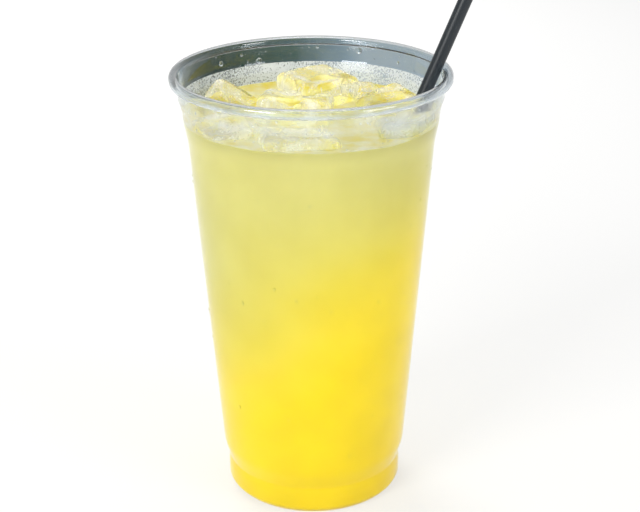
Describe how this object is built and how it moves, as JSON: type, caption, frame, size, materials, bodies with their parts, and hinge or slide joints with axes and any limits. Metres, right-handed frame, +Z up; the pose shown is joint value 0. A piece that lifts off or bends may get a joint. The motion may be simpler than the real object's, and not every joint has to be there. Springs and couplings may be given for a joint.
{
  "type": "cup of agua fresca",
  "caption": "Tall clear plastic cold-drink cup with a rolled rim, filled with cloudy yellow agua fresca, floating ice cubes and a black drinking straw",
  "frame": {"origin": "centre of the ring that the cup stands on, at table level", "axes": "+Z up, +X the side that the straw leans to, -Y the side seen in front"},
  "size_m": [0.1119, 0.098, 0.2014],
  "materials": {
    "clear_pet": "clear",
    "agua_fresca": "cloudy liquid",
    "ice": "wet",
    "black_plastic": "satin"
  },
  "bodies": {
    "root": {"cup": "clear_pet", "drink": "agua_fresca", "straw": "black_plastic", "ice_1": "ice", "ice_2": "ice", "ice_3": "ice", "ice_4": "ice", "ice_5": "ice", "ice_6": "ice", "ice_7": "ice", "ice_8": "ice"}
  },
  "joints": []
}
